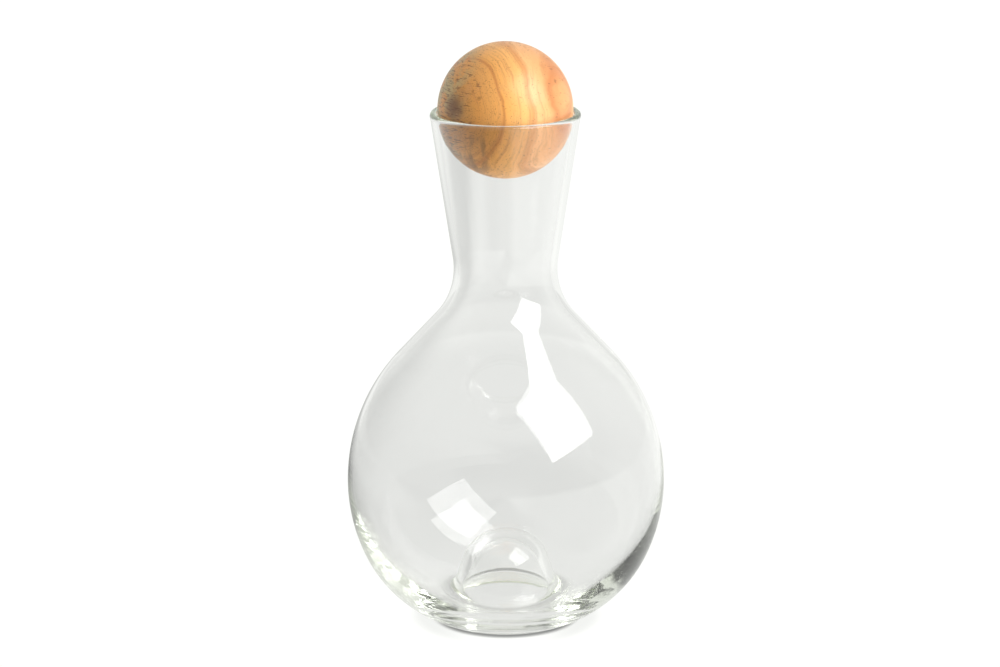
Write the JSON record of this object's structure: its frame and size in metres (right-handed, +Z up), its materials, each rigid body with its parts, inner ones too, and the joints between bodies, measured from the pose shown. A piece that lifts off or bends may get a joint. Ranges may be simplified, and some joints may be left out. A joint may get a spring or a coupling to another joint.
{
  "type": "wine decanter",
  "caption": "Blown clear-glass wine decanter with a round body, flared neck and domed base punt, closed by a loose turned wooden ball that sits in the mouth.",
  "frame": {"origin": "centre of the foot ring, on the surface the decanter stands on", "axes": "+Z up along the axis of the glass, from the foot to the mouth; X and Y are free, because the object is a solid of revolution"},
  "size_m": [0.15, 0.15, 0.2779],
  "materials": {
    "clear_glass": "clear, fire-polished, faintly green in its thick base",
    "ball_wood": "turned and sanded pale hardwood with brown streaks, oiled satin"
  },
  "bodies": {
    "decanter": {"glass_decanter": "clear_glass"},
    "stopper": {"ball_stopper": "ball_wood"}
  },
  "joints": [
    {"name": "stopper_lift", "type": "slide", "parent": "decanter", "child": "stopper", "axis": [0, 0, 1], "range_m": [0, 0.08]}
  ]
}
